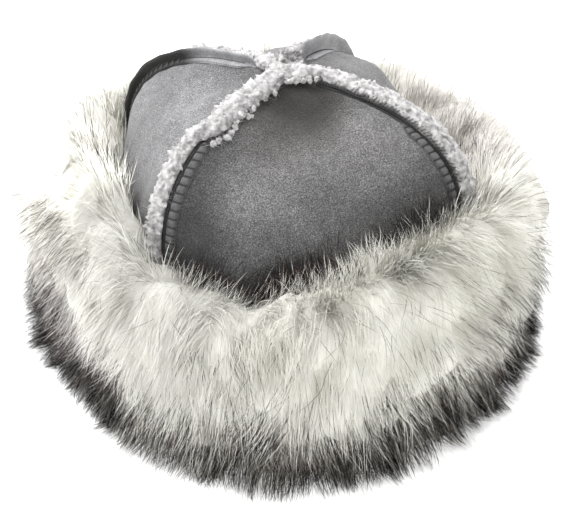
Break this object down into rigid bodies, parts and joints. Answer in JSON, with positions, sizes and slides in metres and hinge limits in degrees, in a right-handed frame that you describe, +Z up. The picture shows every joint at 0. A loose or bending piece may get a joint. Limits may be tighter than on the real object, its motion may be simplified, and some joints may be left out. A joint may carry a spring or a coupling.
{
  "type": "fur-trimmed winter hat",
  "caption": "Soft rounded-square crown of suede panels with raised fleece seams, open below for the head, in a deep shaggy fur cuff.",
  "frame": {"origin": "middle of the outline box, on the surface that the fur rests on", "axes": "+Z up through the crown, -Y towards the front panel, +X to the front panel's right as it is seen from the front"},
  "size_m": [0.3338, 0.3238, 0.1858],
  "materials": {
    "suede": "soft napped grey suede cloth, fleece inside",
    "stitched_edge": "dark grey folded suede edge with a ladder of thread",
    "fleece": "off-white curly fleece",
    "fur": "long cream-white pile fur with near-black tips"
  },
  "bodies": {
    "root": {"panel_front": "suede", "panel_right": "suede", "panel_back": "suede", "panel_left": "suede", "seam_edge_front_left": "stitched_edge", "seam_edge_front_right": "stitched_edge", "seam_edge_back_right": "stitched_edge", "seam_edge_back_left": "stitched_edge", "seam_fleece_front_left": "fleece", "seam_fleece_front_right": "fleece", "seam_fleece_back_right": "fleece", "seam_fleece_back_left": "fleece", "fur_cuff_front": "fur", "fur_cuff_right": "fur", "fur_cuff_back": "fur", "fur_cuff_left": "fur"}
  },
  "joints": []
}
